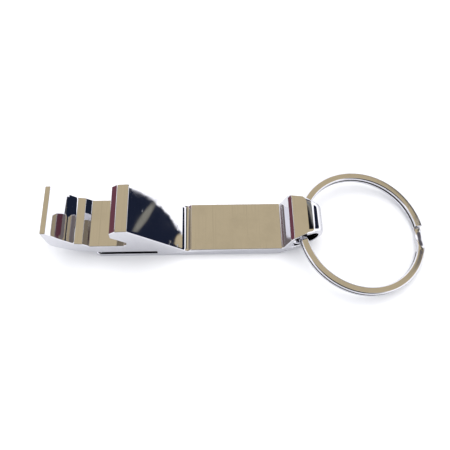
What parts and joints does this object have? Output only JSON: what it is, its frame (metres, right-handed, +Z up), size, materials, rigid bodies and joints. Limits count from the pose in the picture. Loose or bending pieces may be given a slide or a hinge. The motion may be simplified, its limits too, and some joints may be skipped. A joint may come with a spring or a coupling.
{
  "type": "keychain bottle opener",
  "caption": "Plated keychain bottle opener with a cap claw, a can-tab lifter under the wedge, and a split ring that swings in the tail eye.",
  "frame": {"origin": "middle of the flat underside that the opener rests on", "axes": "+X along the opener from the claw to the key ring, +Z up from the underside, Y across the width"},
  "size_m": [0.0843, 0.0299, 0.0129],
  "materials": {
    "body_plating": "bright polished plating over a zinc casting, with fine handling scratches",
    "ring_wire": "bright nickel-plated spring steel wire"
  },
  "bodies": {
    "opener": {"opener_body": "body_plating"},
    "ring": {"split_ring": "ring_wire"}
  },
  "joints": [
    {"name": "ring_swing", "type": "hinge", "parent": "opener", "child": "ring", "pos_m": [0.0249, -0.0005, 0.00545], "axis": [-0.1219, -0.9925, 0], "range_deg": [-150, 185]}
  ]
}
